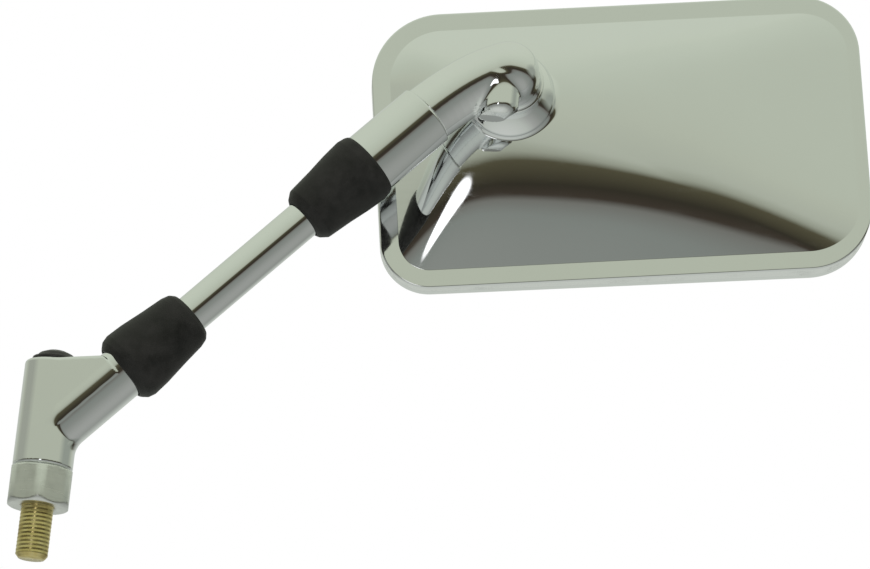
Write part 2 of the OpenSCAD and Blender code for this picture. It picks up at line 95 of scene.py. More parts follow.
class Recipe:
    """The node tree of one procedural material."""

    def __init__(self, name: str) -> None:
        """Starts a material with a Principled shader and Object coordinates."""
        self.material = bpy.data.materials.new(name)
        self.material.use_nodes = True
        self.tree = self.material.node_tree
        self.shader = self.tree.nodes["Principled BSDF"]
        self.place = self.tree.nodes.new("ShaderNodeTexCoord").outputs["Object"]

    def add(self, kind: str, **sockets: object) -> bpy.types.Node:
        """Adds a node and fills its inputs.

        Args:
            kind: Blender's node type without the leading ShaderNode.
            sockets: Input names, with _ for a space, and an output socket or a value for each.

        Returns:
            The new node.
        """
        node = self.tree.nodes.new("ShaderNode" + kind)
        for name, value in sockets.items():
            socket = node.inputs[name.replace("_", " ")]
            if isinstance(value, bpy.types.NodeSocket):
                self.tree.links.new(value, socket)
            else:
                socket.default_value = value
        return node

    def mapped(self, scale: Sequence[float], turn: Sequence[float] = (0, 0, 0)) -> bpy.types.NodeSocket:
        """Object coordinates, turned and stretched, for a pattern that follows one direction."""
        node = self.add("Mapping", Vector=self.place)
        node.inputs["Rotation"].default_value = turn
        node.inputs["Scale"].default_value = scale
        return node.outputs[0]

    def noise(
        self, scale: float, detail: float = 3.0, rough: float = 0.5, vector: object = None
    ) -> bpy.types.NodeSocket:
        """Noise on the object, from 0 to 1.

        Args:
            scale: Cells per metre.
            detail: Number of octaves.
            rough: Strength of the small octaves.
            vector: Coordinates to read instead of the plain Object ones.

        Returns:
            The noise factor socket.
        """
        node = self.add("TexNoise", Vector=vector or self.place, Scale=scale, Detail=detail, Roughness=rough)
        return node.outputs[0]

    def ramp(self, value: bpy.types.NodeSocket, *stops: tuple[float, Sequence[float]]) -> bpy.types.NodeSocket:
        """A colour ramp through the given stops, each a position and a colour."""
        node = self.add("ValToRGB", Fac=value)
        elements = node.color_ramp.elements
        while len(elements) < len(stops):
            elements.new(0.5)
        for element, (at, color) in zip(elements, stops):
            element.position = at
            element.color = (*color, 1.0)
        return node.outputs[0]

    def between(
        self, value: bpy.types.NodeSocket, low: float, high: float, start: float = 0.0, stop: float = 1.0
    ) -> bpy.types.NodeSocket:
        """Maps a value from start..stop onto low..high, held inside it."""
        node = self.add("MapRange", Value=value)
        for name, number in (("From Min", start), ("From Max", stop), ("To Min", low), ("To Max", high)):
            node.inputs[name].default_value = number
        return node.outputs[0]

    def patch(self, at: Sequence[float], turn: float, size: Sequence[float], fade: float) -> bpy.types.NodeSocket:
        """A soft-edged oval that is 1 in its middle and 0 outside.

        Args:
            at: Its centre.
            turn: Its turn about Y, in radians.
            size: Its half sizes along its own axes.
            fade: Share of its half size over which it fades out.

        Returns:
            The factor socket.
        """
        node = self.add("Mapping", Vector=self.place, Location=at, Rotation=(0, turn, 0), Scale=size)
        node.vector_type = "TEXTURE"
        oval = self.add("TexGradient", Vector=node.outputs[0])
        oval.gradient_type = "SPHERICAL"
        return self.between(oval.outputs[1], 0.0, 1.0, 0.0, fade)

    def mixed(self, factor: bpy.types.NodeSocket, a: bpy.types.NodeSocket, b: Sequence[float]) -> bpy.types.NodeSocket:
        """Colour a, with colour b over it where the factor is 1."""
        node = self.add("Mix", Factor=factor)
        node.data_type = "RGBA"
        self.tree.links.new(a, node.inputs[6])
        node.inputs[7].default_value = (*b, 1.0)
        return node.outputs[2]

    def bump(self, height: bpy.types.NodeSocket, strength: float, distance: float) -> None:
        """Feeds a height into the shader's normal."""
        node = self.add("Bump", Height=height, Strength=strength, Distance=distance)
        self.tree.links.new(node.outputs[0], self.shader.inputs["Normal"])

    def set(self, **sockets: object) -> None:
        """Sets or links the Principled shader's own inputs."""
        for name, value in sockets.items():
            socket = self.shader.inputs[name.replace("_", " ")]
            if isinstance(value, bpy.types.NodeSocket):
                self.tree.links.new(value, socket)
            else:
                socket.default_value = value


@dataclass(frozen=True)
class ChromeFinish:
    """Polished chrome plating with faint wipe marks and a little orange peel."""

    name: str = "polished_chrome"
    slot: Slot = Slot.CHROME
    tone: tuple[float, float, float] = (0.86, 0.875, 0.885)
    smooth: float = 0.035
    smudged: float = 0.10

    def build(self) -> bpy.types.Material:
        """Makes the material."""
        recipe = Recipe(self.name)
        smudge = recipe.noise(38, 4, 0.55)
        wipe = recipe.noise(1, 3, 0.6, recipe.mapped((60, 60, 520), (0.3, 0.5, 0.2)))
        both = recipe.add("Math", **{}).outputs[0]
        both.node.operation = "MULTIPLY"
        recipe.tree.links.new(smudge, both.node.inputs[0])
        recipe.tree.links.new(wipe, both.node.inputs[1])
        recipe.set(
            Metallic=1.0,
            Base_Color=recipe.ramp(smudge, (0.3, tuple(c * 0.985 for c in self.tone)), (0.7, self.tone)),
            Roughness=recipe.between(both, self.smooth, self.smudged, 0.22, 0.45),
        )
        recipe.bump(recipe.noise(420, 2, 0.4), 0.05, 0.00002)
        return recipe.material


@dataclass(frozen=True)
class PlatedFinish:
    """Zinc plating: satin metal with cloudy colour and fine tool marks."""

    name: str
    slot: Slot
    light: tuple[float, float, float]
    dark: tuple[float, float, float]
    tint: tuple[float, float, float]
    rough: tuple[float, float] = (0.28, 0.45)
    ring_scale: float = 2600.0

    def build(self) -> bpy.types.Material:
        """Makes the material."""
        recipe = Recipe(self.name)
        cloud = recipe.noise(260, 5, 0.6)
        marks = recipe.noise(1, 2, 0.5, recipe.mapped((90, 90, self.ring_scale)))
        recipe.set(
            Metallic=1.0,
            Base_Color=recipe.ramp(cloud, (0.28, self.dark), (0.5, self.light), (0.72, self.tint)),
            Roughness=recipe.between(marks, self.rough[0], self.rough[1], 0.3, 0.7),
        )
        recipe.bump(marks, 0.25, 0.00004)
        return recipe.material


@dataclass(frozen=True)
class RubberFinish:
    """Moulded black rubber: matt, faintly mottled, with a dusty bloom."""

    name: str = "boot_rubber_black"
    slot: Slot = Slot.RUBBER
    tone: tuple[float, float, float] = (0.006, 0.006, 0.005)
    bloom: tuple[float, float, float] = (0.019, 0.018, 0.016)

    def build(self) -> bpy.types.Material:
        """Makes the material."""
        recipe = Recipe(self.name)
        mottle = recipe.noise(170, 5, 0.62)
        grain = recipe.noise(2600, 3, 0.5)
        recipe.set(
            Base_Color=recipe.ramp(mottle, (0.3, self.tone), (0.75, self.bloom)),
            Roughness=recipe.between(mottle, 0.42, 0.62, 0.3, 0.7),
            Specular_IOR_Level=0.26,
        )
        recipe.bump(grain, 0.18, 0.00006)
        return recipe.material


@dataclass(frozen=True)
class PlasticFinish:
    """Moulded plastic with a fine grain."""

    name: str
    slot: Slot
    tone: tuple[float, float, float]
    pale: tuple[float, float, float]
    rough: float = 0.34

    def build(self) -> bpy.types.Material:
        """Makes the material."""
        recipe = Recipe(self.name)
        mottle = recipe.noise(240, 4, 0.5)
        grain = recipe.noise(3200, 2, 0.5)
        recipe.set(
            Base_Color=recipe.ramp(mottle, (0.3, self.tone), (0.7, self.pale)),
            Roughness=recipe.between(grain, self.rough * 0.85, self.rough * 1.25, 0.3, 0.7),
        )
        recipe.bump(grain, 0.12, 0.00004)
        return recipe.material


@dataclass(frozen=True)
class MirrorGlassFinish:
    """Silvered flat glass with a breath of dust."""

    name: str = "silvered_glass"
    slot: Slot = Slot.GLASS

    def build(self) -> bpy.types.Material:
        """Makes the material."""
        recipe = Recipe(self.name)
        dust = recipe.noise(900, 6, 0.7)
        recipe.set(
            Metallic=1.0,
            Base_Color=recipe.ramp(dust, (0.35, (0.9, 0.925, 0.93)), (0.8, (0.86, 0.89, 0.9))),
            Roughness=recipe.between(dust, 0.008, 0.05, 0.45, 0.8),
            Coat_Weight=1.0,
            Coat_Roughness=0.01,
        )
        return recipe.material


class Finishes:
    """Every finish of the mirror, built once and shared."""

    def __init__(self) -> None:
        """Builds the materials."""
        self.kinds = {
            "chrome": ChromeFinish(),
            "yellow_zinc": PlatedFinish(
                "yellow_zinc",
                Slot.PLATED_STEEL,
                (0.70, 0.58, 0.25),
                (0.48, 0.37, 0.14),
                (0.78, 0.68, 0.36),
                (0.18, 0.32),
                1400,
            ),
            "bright_zinc": PlatedFinish(
                "bright_zinc", Slot.NUT_STEEL, (0.80, 0.81, 0.80), (0.72, 0.73, 0.72), (0.84, 0.85, 0.84), (0.26, 0.40)
            ),
            "steel": PlatedFinish(
                "oiled_steel",
                Slot.SPRING_STEEL,
                (0.42, 0.42, 0.43),
                (0.30, 0.30, 0.31),
                (0.50, 0.50, 0.51),
                (0.25, 0.4),
            ),
            "rubber": RubberFinish(),
            "black_plastic": PlasticFinish(
                "black_plastic_moulded", Slot.BLACK_PLASTIC, (0.010, 0.009, 0.009), (0.020, 0.018, 0.017)
            ),
            "acetal": PlasticFinish("acetal_natural", Slot.SEAT_PLASTIC, (0.78, 0.76, 0.70), (0.86, 0.84, 0.79), 0.4),
            "glass": MirrorGlassFinish(),
        }
        self.materials = {key: kind.build() for key, kind in self.kinds.items()}

    def dress(self, obj: bpy.types.Object, key: str) -> bpy.types.Object:
        """Puts one finish on a whole piece."""
        obj.data.materials.clear()
        obj.data.materials.append(self.materials[key])
        return obj


# ---- Shapes


@dataclass(frozen=True)
class Corner:
    """A corner of a turned profile, in millimetres, with its rounding."""

    r: float
    z: float
    round: float = 0.0


def softened(corners: Sequence[Corner], closed: bool = False, steps: int = 5, guard: float = 0.12) -> list[Point2]:
    """Rounds a profile's corners and adds a point beside each rounding, so that straight runs shade straight.

    Args:
        corners: The corners in order.
        closed: Whether the last corner joins the first.
        steps: Points in each rounding.
        guard: Distance of the extra points from the roundings, in millimetres.

    Returns:
        The profile's points as radius and height.
    """
    points: list[Point2] = []
    count = len(corners)
    for i, corner in enumerate(corners):
        here = Vector((corner.r, corner.z))
        ends = not closed and i in (0, count - 1)
        if ends or corner.round <= 0:
            points.append((corner.r, corner.z))
            continue
        back = Vector((corners[i - 1].r, corners[i - 1].z)) - here
        ahead = Vector((corners[(i + 1) % count].r, corners[(i + 1) % count].z)) - here
        half = back.angle(ahead) / 2
        reach = min(corner.round / max(math.tan(half), 1e-3), 0.48 * back.length, 0.48 * ahead.length)
        start, stop = here + back.normalized() * reach, here + ahead.normalized() * reach
        if back.length > reach + 3 * guard:
            points.append(tuple(start + back.normalized() * guard))
        for k in range(steps + 1):
            t = k / steps
            points.append(tuple(start * (1 - t) ** 2 + here * 2 * t * (1 - t) + stop * t**2))
        if ahead.length > reach + 3 * guard:
            points.append(tuple(stop + ahead.normalized() * guard))
    return points


def publish(bm: bmesh.types.BMesh, name: str, smooth: bool = True) -> bpy.types.Object:
    """Turns a bmesh in millimetres into a piece in metres.

    Args:
        bm: The shape, which is freed.
        name: The piece's name.
        smooth: Whether its faces shade smoothly.

    Returns:
        The new object, at the origin.
    """
    bmesh.ops.scale(bm, vec=(MM, MM, MM), verts=bm.verts)
    bmesh.ops.recalc_face_normals(bm, faces=bm.faces)
    mesh = bpy.data.meshes.new(name)
    bm.to_mesh(mesh)
    bm.free()
    mesh.polygons.foreach_set("use_smooth", [smooth] * len(mesh.polygons))
    obj = bpy.data.objects.new(name, mesh)
    bpy.context.scene.collection.objects.link(obj)
    return obj


def lathe(
    bm: bmesh.types.BMesh, profile: Sequence[Point2], place: Matrix, segments: int = 96, closed: bool = False
) -> None:
    """Spins a profile round the local Z axis into a bmesh.

    Args:
        bm: The bmesh that receives the turned shape.
        profile: Radius and height of each point.
        place: Where the lathe's own frame stands.
        segments: Steps in the full turn.
        closed: Whether the profile is a loop, as for a ring.
    """
    verts = [bm.verts.new((max(r, 0.0), 0, z)) for r, z in profile]
    edges = [bm.edges.new(pair) for pair in zip(verts, verts[1:])]
    if closed:
        edges.append(bm.edges.new((verts[-1], verts[0])))
    known = set(bm.verts) - set(verts)
    bmesh.ops.spin(
        bm, geom=verts + edges, cent=(0, 0, 0), axis=(0, 0, 1), angle=2 * math.pi, steps=segments, use_merge=True
    )
    made = [v for v in bm.verts if v not in known]
    bmesh.ops.transform(bm, matrix=place, verts=made)
    bmesh.ops.remove_doubles(bm, verts=made, dist=1e-4)


def draped_grid(bm: bmesh.types.BMesh, around: int, across: int, place: Callable[[int, int], Sequence[float]]) -> None:
    """Makes a grid and drapes it over a surface, with its seams welded.

    Args:
        bm: The bmesh that receives it.
        around: Faces along the first direction.
        across: Faces along the second direction.
        place: Gives the point for a column and a row.
    """
    known = set(bm.verts)
    bmesh.ops.create_grid(bm, x_segments=around, y_segments=across, size=1.0)
    made = [v for v in bm.verts if v not in known]
    for v in made:
        v.co = place(round((v.co.x + 1) / 2 * around), round((v.co.y + 1) / 2 * across))
    bmesh.ops.remove_doubles(bm, verts=made, dist=1e-4)


def drawn_on(node: str, name: str, voxel: float, surface: Field3, passes: int = 4) -> bpy.types.Object:
    """Copies a CAD node's solid, meshes it finely and draws it onto a blended surface.

    Args:
        node: The CAD node whose solid is the start.
        name: The new piece's name.
        voxel: Size of the fine mesh, in millimetres.
        surface: Signed distance to the blended surface for points in millimetres.
        passes: How often each point steps towards the surface.

    Returns:
        The new object, with normals taken from the surface.
    """
    bm = bmesh.new()
    bm.from_mesh(frame["nodes"][node].data)
    bmesh.ops.remove_doubles(bm, verts=bm.verts, dist=1e-6)
    mesh = bpy.data.meshes.new(name + "_start")
    bm.to_mesh(mesh)
    bm.free()
    start = bpy.data.objects.new(name + "_start", mesh)
    bpy.context.scene.collection.objects.link(start)
    remesh = start.modifiers.new("fine", "REMESH")
    remesh.mode = "VOXEL"
    remesh.voxel_size = voxel * MM
    remesh.adaptivity = 0.0
    evaluated = start.evaluated_get(bpy.context.evaluated_depsgraph_get())
    fine = bpy.data.meshes.new_from_object(evaluated)
    fine.name = name
    bpy.data.objects.remove(start)
    count = len(fine.vertices)
    points = np.empty(count * 3)
    fine.vertices.foreach_get("co", points)
    points = points.reshape(-1, 3) / MM
    for _ in range(passes):
        slope = gradient(surface, points)
        step = surface(points) / np.maximum((slope**2).sum(1), 0.25)
        points -= np.clip(step, -0.6, 0.6)[:, None] * slope
    normals = gradient(surface, points)
    normals /= np.maximum(np.linalg.norm(normals, axis=1, keepdims=True), 1e-9)
    fine.vertices.foreach_set("co", (points * MM).ravel())
    fine.polygons.foreach_set("use_smooth", [True] * len(fine.polygons))
    fine.update()
    fine.normals_split_custom_set_from_vertices([tuple(n) for n in normals])
    obj = bpy.data.objects.new(name, fine)
    bpy.context.scene.collection.objects.link(obj)
    return obj


def gradient(surface: Field3, points: np.ndarray, step: float = 0.02) -> np.ndarray:
    """Central differences of a distance field at each point."""
    out = np.empty_like(points)
    for axis in range(3):
        shift = np.zeros(3)
        shift[axis] = step
        out[:, axis] = (surface(points + shift) - surface(points - shift)) / (2 * step)
    return out


def melted(a: np.ndarray, b: np.ndarray, radius: float) -> np.ndarray:
    """Union of two distance fields with a fillet between them."""
    h = np.clip(0.5 + 0.5 * (b - a) / radius, 0, 1)
    return b * (1 - h) + a * h - radius * h * (1 - h)


def carved(a: np.ndarray, b: np.ndarray, radius: float) -> np.ndarray:
    """Distance field a with b cut out of it, the edge rounded."""
    return -melted(-a, b, radius)


def rod_field(
    points: np.ndarray, start: np.ndarray, along: np.ndarray, length: float, radius: float, edge: float
) -> np.ndarray:
    """Distance to a round bar with rounded edges.

    Args:
        points: Points in millimetres.
        start: Centre of the bar's first end.
        along: Unit vector of its axis.
        length: Its length.
        radius: Its radius.
        edge: Rounding of its two edges.

    Returns:
        The signed distance of each point.
    """
    offset = points - start
    at = offset @ along
    out = np.linalg.norm(offset - at[:, None] * along, axis=1)
    dx = out - radius + edge
    dz = np.abs(at - length / 2) - length / 2 + edge
    outside = np.hypot(np.maximum(dx, 0), np.maximum(dz, 0))
    return outside + np.minimum(np.maximum(dx, dz), 0) - edge


def capsule_field(points: np.ndarray, a: np.ndarray, b: np.ndarray, ra: float, rb: float) -> np.ndarray:
    """Distance to a bar with round ends, from radius ra at a to rb at b."""
    axis = b - a
    at = np.clip(((points - a) @ axis) / (axis @ axis), 0, 1)
    return np.linalg.norm(points - a - at[:, None] * axis, axis=1) - (ra + (rb - ra) * at)


# ---- Where things stand


@dataclass(frozen=True)
class Layout:
    """Places and directions read from the record's joints, in millimetres."""

    lower_ball: Vector
    upper_ball: Vector
    stem: Vector
    pivot: Vector
    head_long: Vector
    head_short: Vector
    nut_top: float

    @classmethod
    def read(cls) -> "Layout":
        """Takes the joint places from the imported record."""
        joints = {j["name"]: j for j in frame["joints"]}

        def at(name: str) -> Vector:
            """Place of a joint in millimetres."""
            return Vector(joints[name]["pos_m"]) / MM

        def along(name: str) -> Vector:
            """Axis of a joint."""
            return Vector(joints[name]["axis"]).normalized()

        return cls(
            lower_ball=at("lower_tilt"),
            upper_ball=at("upper_tilt"),
            stem=along("lower_turn"),
            pivot=at("head_roll"),
            head_long=along("head_tilt"),
            head_short=along("head_pan"),
            nut_top=at("base_swivel").z,
        )

    def lower_socket(self) -> Matrix:
        """Frame of the lower ball: the rod leaves it along +Z."""
        return self.turned_frame(self.lower_ball, self.stem)

    def upper_socket(self) -> Matrix:
        """Frame of the upper ball: the rod leaves it along +Z, which points down the stem."""
        return self.turned_frame(self.upper_ball, -self.stem)

    def head_frame(self) -> Matrix:
        """Frame of the head: X along its long side, Z up its short side, origin below the pivot at depth 0."""
        rows = Matrix((self.head_long, Vector((0, 1, 0)), self.head_short)).transposed()
        return Matrix.Translation(Vector((self.pivot.x, 0, self.pivot.z))) @ rows.to_4x4()

    @staticmethod
    def turned_frame(origin: Vector, axis: Vector) -> Matrix:
        """A frame at origin whose Z axis points along axis."""
        return Matrix.Translation(origin) @ axis.to_track_quat("Z", "Y").to_matrix().to_4x4()


# ---- Sub-assemblies


@dataclass
class MountHardware:
    """The threaded mounting bolt and its lock nut."""

    finishes: Finishes
    stud_r: float = 4.97
    grip_r: float = 4.8
    pitch: float = 1.25
    depth: float = 0.08
    low: float = -16.0
    thread_top: float = 0.6
    top: float = 35.0
    around: int = 72
    steps_per_turn: int = 10
    af: float = 18.7
    height: float = 12.0
    turn: float = 3.5
    sink_r: float = 5.7
    head_low: float = 34.4
    head_height: float = 6.0
    head_r: float = 6.7
    socket_r: float = 3.9

    def build(self) -> list[bpy.types.Object]:
        """Makes both pieces."""
        return [self.bolt(), self.nut()]

    def thread_radius(self, angle: float, z: float) -> float:
        """Radius of the threaded bar at an angle in turns and a height."""
        phase = (z / self.pitch - angle) % 1.0
        wave = abs(2 * phase - 1)
        crest = min(max((wave - 0.14) / 0.76, 0.0), 1.0)
        lead = min(max((z - self.low) / 2.2, 0.0), 1.0)
        tip = 0.9 * (1 - min(max((z - self.low) / 1.1, 0.0), 1.0))
        return self.stud_r - tip - self.depth * crest * (0.35 + 0.65 * lead)

    def bolt(self) -> bpy.types.Object:
        """The bolt: a rolled thread below, a plain shank and a socket head inside the base."""
        threads = round((self.thread_top - self.low) / self.pitch * self.steps_per_turn)
        heights = [self.low + (self.thread_top - self.low) * i / threads for i in range(threads + 1)]
        threaded = len(heights)
        heights += [self.thread_top + 0.15, self.top]
        last = len(heights) + 1

        def place(i: int, j: int) -> Sequence[float]:
            """A point of the threaded bar, with both ends drawn in to the axis."""
            z = heights[min(max(j - 1, 0), len(heights) - 1)]
            angle = i / self.around
            r = self.thread_radius(angle, z) if j <= threaded else self.grip_r
            r = 0.0 if j in (0, last) else r
            return (r * math.cos(2 * math.pi * angle), r * math.sin(2 * math.pi * angle), z)

        bm = bmesh.new()
        draped_grid(bm, self.around, last, place)
        low, high, socket = self.head_low, self.head_low + self.head_height, self.head_low + 2.5
        head = [
            Corner(0, low),
            Corner(self.head_r, low, 0.3),
            Corner(self.head_r, high, 0.6),
            Corner(self.socket_r, high, 0.3),
            Corner(self.socket_r, socket),
            Corner(0, socket),
        ]
        lathe(bm, softened(head), Matrix.Identity(4), 48)
        obj = publish(bm, "mounting_bolt")
        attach(obj, Body.MOUNT.value)
        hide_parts("mount_bolt")
        return self.finishes.dress(obj, "yellow_zinc")

    def nut(self) -> bpy.types.Object:
        """The hexagon nut: softened corners, turned-down ends and a countersunk lower mouth."""
        flat, height, blend = self.af / 2, self.height, 2.0
        bm = bmesh.new()
        reach_r = flat / math.cos(math.radians(30))

        def side(angle: float) -> float:
            """Distance from the axis to the hexagon's softened outline."""
            directions = [math.radians(60 * k + self.turn) for k in range(6)]
            near = [flat / max(math.cos(math.radians(angle) - d), 0.2) for d in directions]
            total = sum(math.exp(-(v - flat) / blend * 2.2) for v in near)
            return min(flat - blend / 2.2 * math.log(total), reach_r)

        sink, grip = self.sink_r, self.grip_r + 0.05
        low_rows = [(sink - 0.85, 0.85), (sink - 0.25, 0.25), (sink, 0.06), (sink + 0.15, 0.0)]
        cone = [(flat - 0.7, 0.0), (flat - 0.35, 0.06), (flat - 0.05, 0.25), (flat + 0.3, 0.6), (flat + 0.65, 1.0)]
        cone += [(flat + 1.0, 1.45), (reach_r + 0.3, 1.9)]
        high = [(reach_r + 0.3, height - 0.8), (flat + 0.5, height - 0.4), (flat, height - 0.12)]
        high += [(flat - 0.5, height), (grip, height)]
        rows = low_rows + cone + high

        def place(i: int, j: int) -> Sequence[float]:
            """A point on the nut's skin: the turned profile, cut by the six flats."""
            angle = 360 * i / 180
            r, z = rows[j]
            r = min(side(angle), r)
            return (r * math.cos(math.radians(angle)), r * math.sin(math.radians(angle)), z)

        draped_grid(bm, 180, len(rows) - 1, place)
        bore = [(sink - 0.85, 0.85), (grip, 0.9), (grip, height)]
        lathe(bm, bore, Matrix.Identity(4), 180)
        bmesh.ops.remove_doubles(bm, verts=bm.verts, dist=1e-3)
        obj = publish(bm, "lock_nut_hex")
        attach(obj, Body.MOUNT.value)
        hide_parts("lock_nut")
        return self.finishes.dress(obj, "bright_zinc")


@dataclass
class SwivelBase:
    """The Y-shaped casting with its upright barrel, slanted branch and black cap."""

    finishes: Finishes
    layout: Layout
    barrel_r: float = 9.25
    barrel_top: float = 45.4
    branch_r: float = 8.25
    bore_r: float = 6.3
    web_half: float = 9.05
    web_reach: float = 28.8
    web_low: float = -1.5
    bend_r: float = 16.5
    bend_at: float = 2.6
    web_high: float = 6.1
    fillet: float = 2.0
    branch_from: float = 40.0

    def build(self) -> list[bpy.types.Object]:
        """Makes the casting and the cap."""
        return [self.casting(), self.cap()]

    def surface(self, points: np.ndarray) -> np.ndarray:
        """Distance to the casting: barrel, branch and web run into each other."""
        up = np.array((0.0, 0.0, 1.0))
        along = np.array(self.layout.stem)
        ball = np.array(self.layout.lower_ball)
        low = self.layout.nut_top
        origin = ball - along * self.branch_from
        across = np.array((-along[2], 0.0, along[0]))
        above = (points - origin) @ across
        barrel = rod_field(points, np.array((0, 0, low)), up, self.barrel_top - low, self.barrel_r, 1.0)
        side = self.side(points, above)
        lift = above - 1.35
        round_part = np.hypot(lift * np.where(lift > 0, 1.4, 1.0), points[:, 1]) - self.branch_r - 1.35
        at = (points - origin) @ along
        branch = self.eased(-melted(-side, -round_part, 1.0), np.abs(at - 20.5) - 20.5, 0.4)
        branch = np.maximum(branch, 1.5 - points[:, 0])
        crotch = np.clip((-above - 6.3) / 1.8, 0, 1)
        body = melted(barrel, branch, 0.25 + (self.fillet - 0.25) * crotch**2 * (3 - 2 * crotch))
        body = melted(body, self.web(points, origin, along, above, side), 0.3)
        bolt = rod_field(points, np.array((0, 0, 0.0)), up, 36.0, 5.1, 0.2)
        recess = rod_field(points, np.array((0, 0, 34.4)), up, 30.0, 7.0, 0.2)
        seat = rod_field(points, np.array((0, 0, self.barrel_top)), up, 20.0, 7.5, 0.0)
        bore = rod_field(points, ball - along * 16.5, along, 30.0, self.bore_r, 0.2)
        for hole in (bolt, recess, seat, bore):
            body = carved(body, hole, 0.25)
        return body

    def side(self, points: np.ndarray, above: np.ndarray) -> np.ndarray:
        """Distance to the flat side of the web, which bends gently inwards on the branch."""
        y = np.abs(points[:, 1])
        bent = np.hypot(above - self.bend_at, y - self.web_half + self.bend_r) - self.bend_r
        return np.where(above > self.bend_at, y - self.web_half, bent)

    def web(
        self, points: np.ndarray, origin: np.ndarray, along: np.ndarray, above: np.ndarray, side: np.ndarray
    ) -> np.ndarray:
        """Distance to the flat-sided web that fills the upper side of the Y.

        Args:
            points: Points in millimetres.
            origin: Where the branch's axis leaves the barrel's.
            along: Direction of the branch.
            above: Height of each point above the branch's axis.
            side: Distance of each point to the web's side.

        Returns:
            The distance of each point.
        """
        x, _, z = points.T
        end_x = origin[0] + along[0] * self.web_reach - along[2] * self.web_high
        end_z = origin[2] + along[2] * self.web_reach + along[0] * self.web_high
        slope = (end_z - self.barrel_top) / end_x
        top = (z - self.barrel_top - slope * x) / math.hypot(1, slope)
        out = self.eased(side, top, 1.1)
        out = self.eased(out, (points - origin) @ along - self.web_reach, 0.7)
        out = self.eased(out, self.web_low - above, 0.8)
        return np.maximum(out, -x)

    @staticmethod
    def eased(a: np.ndarray, b: np.ndarray, radius: float) -> np.ndarray:
        """Where two faces meet at an outer edge, rounds that edge."""
        outside = np.hypot(np.maximum(a + radius, 0), np.maximum(b + radius, 0))
        return outside + np.minimum(np.maximum(a, b) + radius, 0) - radius

    def casting(self) -> bpy.types.Object:
        """The casting, finely meshed with filleted joins."""
        obj = drawn_on("base_casting", "base_casting_chrome", 0.42, self.surface)
        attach(obj, Body.BASE.value)
        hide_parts("base_casting")
        return self.finishes.dress(obj, "chrome")

    def cap(self) -> bpy.types.Object:
        """The black plug: a skirt in the recess, a flange and a low dome."""
        top = self.barrel_top
        profile = [
            Corner(0, top - 4.2),
            Corner(6.95, top - 4.2, 0.3),
            Corner(6.95, top),
            Corner(7.25, top),
            Corner(7.25, top + 1.6, 0.5),
            Corner(6.2, top + 1.65, 0.45),
            Corner(5.3, top + 2.9, 1.4),
            Corner(2.8, top + 4.0, 2.4),
            Corner(0, top + 4.0),
        ]
        bm = bmesh.new()
        lathe(bm, softened(profile), Matrix.Identity(4))
        obj = publish(bm, "barrel_cap")
        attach(obj, Body.BASE.value)
        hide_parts("base_cap")
        return self.finishes.dress(obj, "black_plastic")


